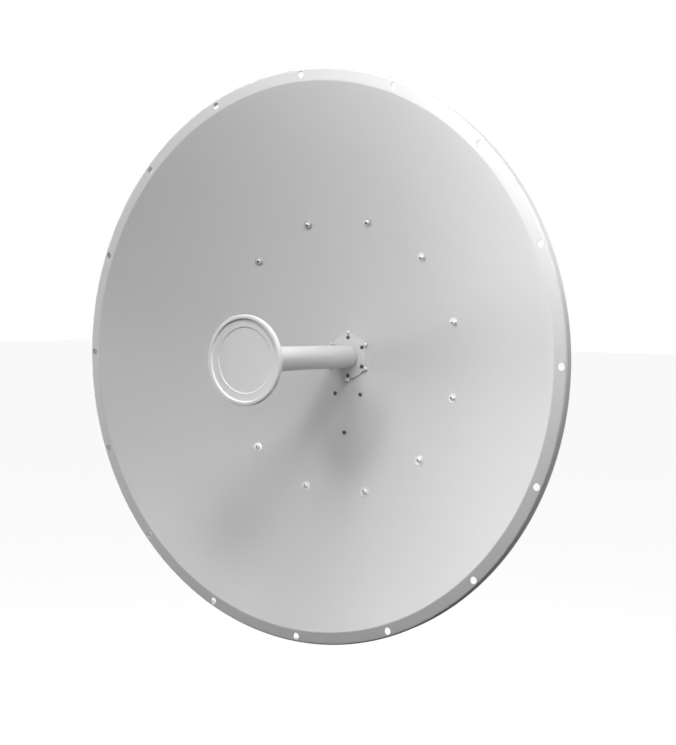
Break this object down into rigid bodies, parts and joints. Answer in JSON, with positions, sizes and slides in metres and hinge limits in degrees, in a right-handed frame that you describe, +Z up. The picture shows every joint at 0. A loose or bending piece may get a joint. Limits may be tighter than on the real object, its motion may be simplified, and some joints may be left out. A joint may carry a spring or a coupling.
{
  "type": "microwave dish antenna with a pole bracket",
  "caption": "Round parabolic microwave dish with a centre feed on a tube, a drilled rim, and a steel bracket behind it that clamps to a pole.",
  "frame": {"origin": "middle of the flat rear face of the pole bracket, between its upper and lower clamp jaws", "axes": "+Z up, -Y along the boresight out of the dish, +Y towards the pole, +X to the right seen from the front of the dish"},
  "size_m": [1.0502, 0.61, 1.0502],
  "materials": {
    "white_paint": "satin white powder coat",
    "cap_plastic": "light grey moulded plastic",
    "stainless": "bright stainless steel",
    "black_steel": "black oxide screws",
    "casting": "cast aluminium",
    "galvanised": "galvanised sheet steel",
    "zinc": "zinc plated bolts"
  },
  "bodies": {
    "root": {"backing_ring": "white_paint", "clamp_bolt_lower_left": "zinc", "clamp_bolt_lower_right": "zinc", "clamp_bolt_upper_left": "zinc", "clamp_bolt_upper_right": "zinc", "clamp_jaw_back_lower": "galvanised", "clamp_jaw_back_upper": "galvanised", "clamp_jaw_front_lower": "galvanised", "clamp_jaw_front_upper": "galvanised", "elevation_rod": "zinc", "feed_base_plate": "white_paint", "feed_cap": "cap_plastic", "feed_housing": "casting", "feed_hub": "casting", "feed_tube": "white_paint", "lock_bolt_left": "zinc", "lock_bolt_right": "zinc", "pivot_bolt_left": "zinc", "pivot_bolt_right": "zinc", "pole_bracket": "galvanised", "radio_bracket": "galvanised", "radio_bracket_screw_1": "black_steel", "radio_bracket_screw_2": "black_steel", "radio_bracket_screw_3": "black_steel", "reflector": "white_paint", "rf_connector_left": "stainless", "rf_connector_right": "stainless", "ring_screw_01": "stainless", "ring_screw_02": "stainless", "ring_screw_03": "stainless", "ring_screw_04": "stainless", "ring_screw_05": "stainless", "ring_screw_06": "stainless", "ring_screw_07": "stainless", "ring_screw_08": "stainless", "ring_screw_09": "stainless", "ring_screw_10": "stainless", "ring_screw_11": "stainless", "ring_screw_12": "stainless", "rod_trunnion": "galvanised", "side_bracket_left": "galvanised", "side_bracket_right": "galvanised", "subreflector": "cap_plastic", "tie_bar_lower": "zinc", "tie_bar_upper": "zinc"}
  },
  "joints": []
}
